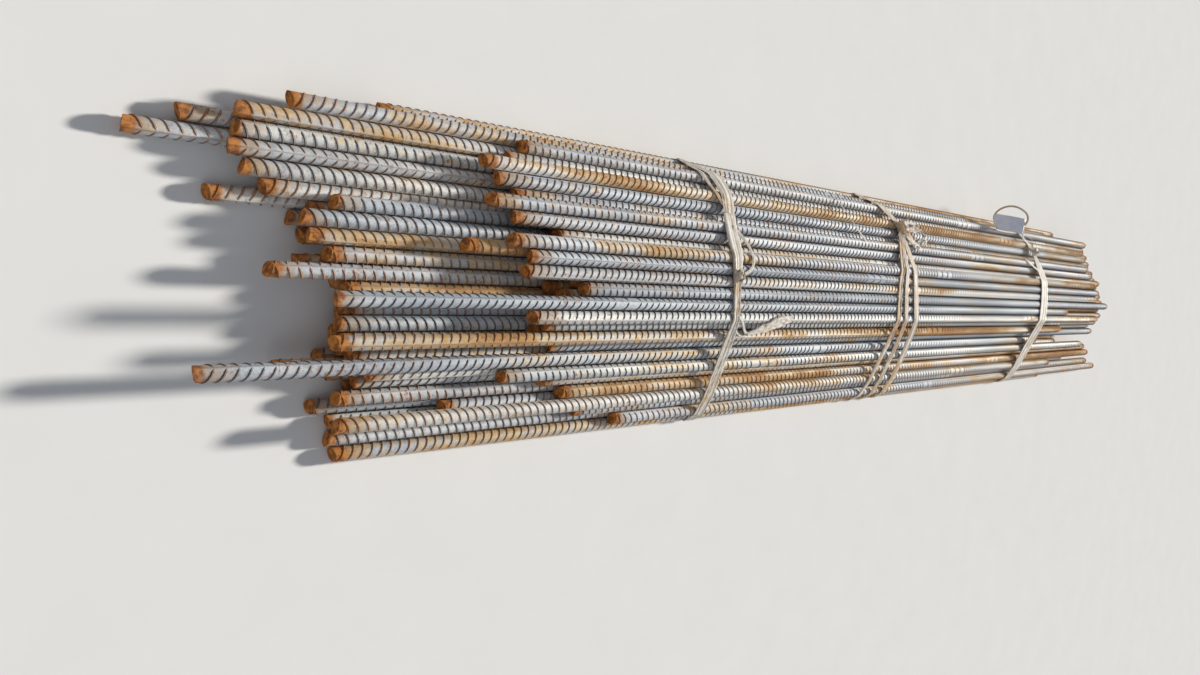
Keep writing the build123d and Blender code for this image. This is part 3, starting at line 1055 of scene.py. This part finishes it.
def strap_plastic():
    """Weathered off-white tape: fine fibres along it, painted shade in the valleys of its folds and stains of
    rust.
    """
    m = Shade("weathered_tape")
    unrolled = m.first("ShaderNodeUVMap", uv_map="tape")
    fibres = m.noise(m.stretched(unrolled, (6.0, 26.0, 1.0)), 3.0, 4.0, 0.6)
    threads = m.noise(m.stretched(unrolled, (9.0, 34.0, 1.0)), 2.0, 3.0)
    patches = m.noise(m.here, 28.0, 4.0)
    stain = m.noise(m.here, 13.0, 5.0, 0.65)
    colour = m.mix(m.band(patches, 0.35, 0.65), *PALE_TAPE)
    colour = m.mix(m.band(fibres, 0.48, 0.72, 0.40), colour, TAPE_FIBRE)
    colour = m.mix(m.band(threads, 0.54, 0.68, 0.28), colour, TAPE_THREAD)
    # painted shade: darkened where a place lies low in a fold, standing in for the folds' shade
    crease = m.times(m.band(m.attribute("fold"), 0.26, 0.05, 0.70), m.band(fibres, 0.25, 0.5))
    colour = m.mix(crease, colour, TAPE_CREASE_SHADE)
    stained = m.band(m.times_plus(m.attribute("stain"), 0.13, stain), 0.56, 0.70, 0.75)
    colour = m.mix(stained, colour, TAPE_STAIN)
    height = m.times_plus(threads, 0.8, fibres)
    return m.finished({"Base Color": colour, "Roughness": m.times_plus(fibres, 0.25, 0.48),
                       "Normal": m.bump(height, 0.7, 1.3 * MM), "Sheen Weight": 0.15})


def tag_card_finish():
    """Coated card, pale lavender, faintly mottled, with patches of dust."""
    m = Shade("bare_card")
    mottle = m.noise(m.here, 60.0, 5.0)
    colour = m.mix(m.band(mottle, 0.3, 0.7), *PALE_CARD)
    colour = m.mix(m.band(m.noise(m.here, 7.0, 3.0), 0.40, 0.75, 0.30), colour, CARD_DUST)
    return m.finished({"Base Color": colour, "Roughness": m.times_plus(mottle, 0.2, 0.35),
                       "Normal": m.bump(m.noise(m.here, 240.0, 3.0), 0.15, 0.6 * MM)})


# The stage: floor, light and camera

FLOOR_REACH = 60.0
# Lamps: direction towards it, strength, width as an angle, colour
KEY = ((1.0, 0.12, 0.46), 4.5, 0.10, (1.0, 0.955, 0.88))
FILL = ((-0.7, -0.6, 0.8), 0.38, 0.9, (0.90, 0.95, 1.0))
SKY_COLOUR, SKY_STRENGTH = (0.84, 0.90, 1.0, 1.0), 0.22
BACKDROP = (0.93, 0.94, 0.95, 1.0)


def floor():
    """Plain pale floor just under the bundle."""
    mesh = bpy.data.meshes.new("floor")
    mesh.from_pydata([(x * FLOOR_REACH, y * FLOOR_REACH, 0) for x, y in ((-1, -1), (1, -1), (1, 1), (-1, 1))],
                     [], [(0, 1, 2, 3)])
    m = Shade("pale_floor")
    speck = m.noise(m.here, 7.0, 6.0)
    colour = m.mix(m.band(speck, 0.3, 0.7), *PALE_FLOOR)
    mesh.materials.append(m.finished({
        "Base Color": colour, "Roughness": m.times_plus(speck, 0.1, 0.85), "Specular IOR Level": 0.0}))
    link("floor", mesh)


def sun(name, towards, strength, angle, colour):
    """A broad, even, soft-edged lamp from far off in one direction."""
    light = bpy.data.lights.new(name, "SUN")
    light.energy = strength
    light.angle = angle
    light.color = colour
    lamp = link(name, light)
    lamp.rotation_mode = "QUATERNION"
    lamp.rotation_quaternion = (-Vector(towards)).to_track_quat("-Z", "Y")


def lights():
    """Low warm key from almost straight beyond the far end, a cool sky and a weak fill."""
    sun("key", *KEY)
    sun("fill", *FILL)
    world = bpy.data.worlds.new("sky")
    world.use_nodes = True
    w = Wires(world.node_tree)
    sky = w.tree.nodes["Background"]
    w.feed(sky.inputs["Color"], SKY_COLOUR)
    w.feed(sky.inputs["Strength"], SKY_STRENGTH)
    seen = w.first("ShaderNodeBackground", {"Color": BACKDROP})
    path = w.node("ShaderNodeLightPath").outputs
    both = w.node("ShaderNodeMixShader")
    directly = w.math("MAXIMUM", path["Is Camera Ray"], path["Is Transmission Ray"])
    share = w.math("MAXIMUM", directly, path["Is Glossy Ray"])
    for socket, value in zip(both.inputs, (share, sky.outputs[0], seen)):
        w.feed(socket, value)
    w.feed(w.tree.nodes["World Output"].inputs["Surface"], both.outputs[0])
    bpy.context.scene.world = world


# Photograph: where the bars' lines meet and how far the picture is rolled
FRAME_WIDTH, FRAME_HEIGHT = 1200, 675
FOCAL_PIXELS = 900
VANISHING = (1500, 320)
ROLL = radians(5)
SENSOR = 36                   # width in millimetres
CAMERA_HEIGHT = 1.305
CAMERA_BACK = 0.390           # behind the foremost bar end


def camera():
    """Camera at the photograph's place: rolled so that the bars run across the picture."""
    up = Vector((cos(ROLL), sin(ROLL)))
    left = Vector((sin(ROLL), -cos(ROLL)))
    aim = Vector((VANISHING[0] - FRAME_WIDTH / 2, VANISHING[1] - FRAME_HEIGHT / 2))
    pitch = atan2(aim.dot(up), FOCAL_PIXELS)
    yaw = atan2(aim.dot(left), hypot(FOCAL_PIXELS, aim.dot(up)))
    turn = Matrix.Rotation(-yaw, 3, "Z")
    forward = turn @ Vector((cos(pitch), 0, -sin(pitch)))
    high = turn @ Vector((sin(pitch), 0, cos(pitch)))
    sideways = turn @ Vector((0, 1, 0))
    right = up.x * high + left.x * sideways
    down = up.y * high + left.y * sideways
    data = bpy.data.cameras.new("camera")
    data.sensor_width = SENSOR
    data.lens = SENSOR * FOCAL_PIXELS / FRAME_WIDTH
    pose = Matrix((right, -down, -forward)).transposed().to_4x4()
    pose.translation = Vector((FRONT - CAMERA_BACK, MIDDLE, CAMERA_HEIGHT))
    eye = link("camera", data)
    eye.matrix_world = pose
    bpy.context.scene.camera = eye


def main():
    all_bars(rebar_steel())
    plastic = strap_plastic()
    near_strap(plastic)
    middle_strap(plastic)
    far_strap(plastic)
    loose_strand(plastic)
    card_tag(tag_card_finish())
    tag_tie(plastic)
    floor()
    lights()
    camera()
    bpy.context.scene.view_settings.view_transform = "Standard"


main()
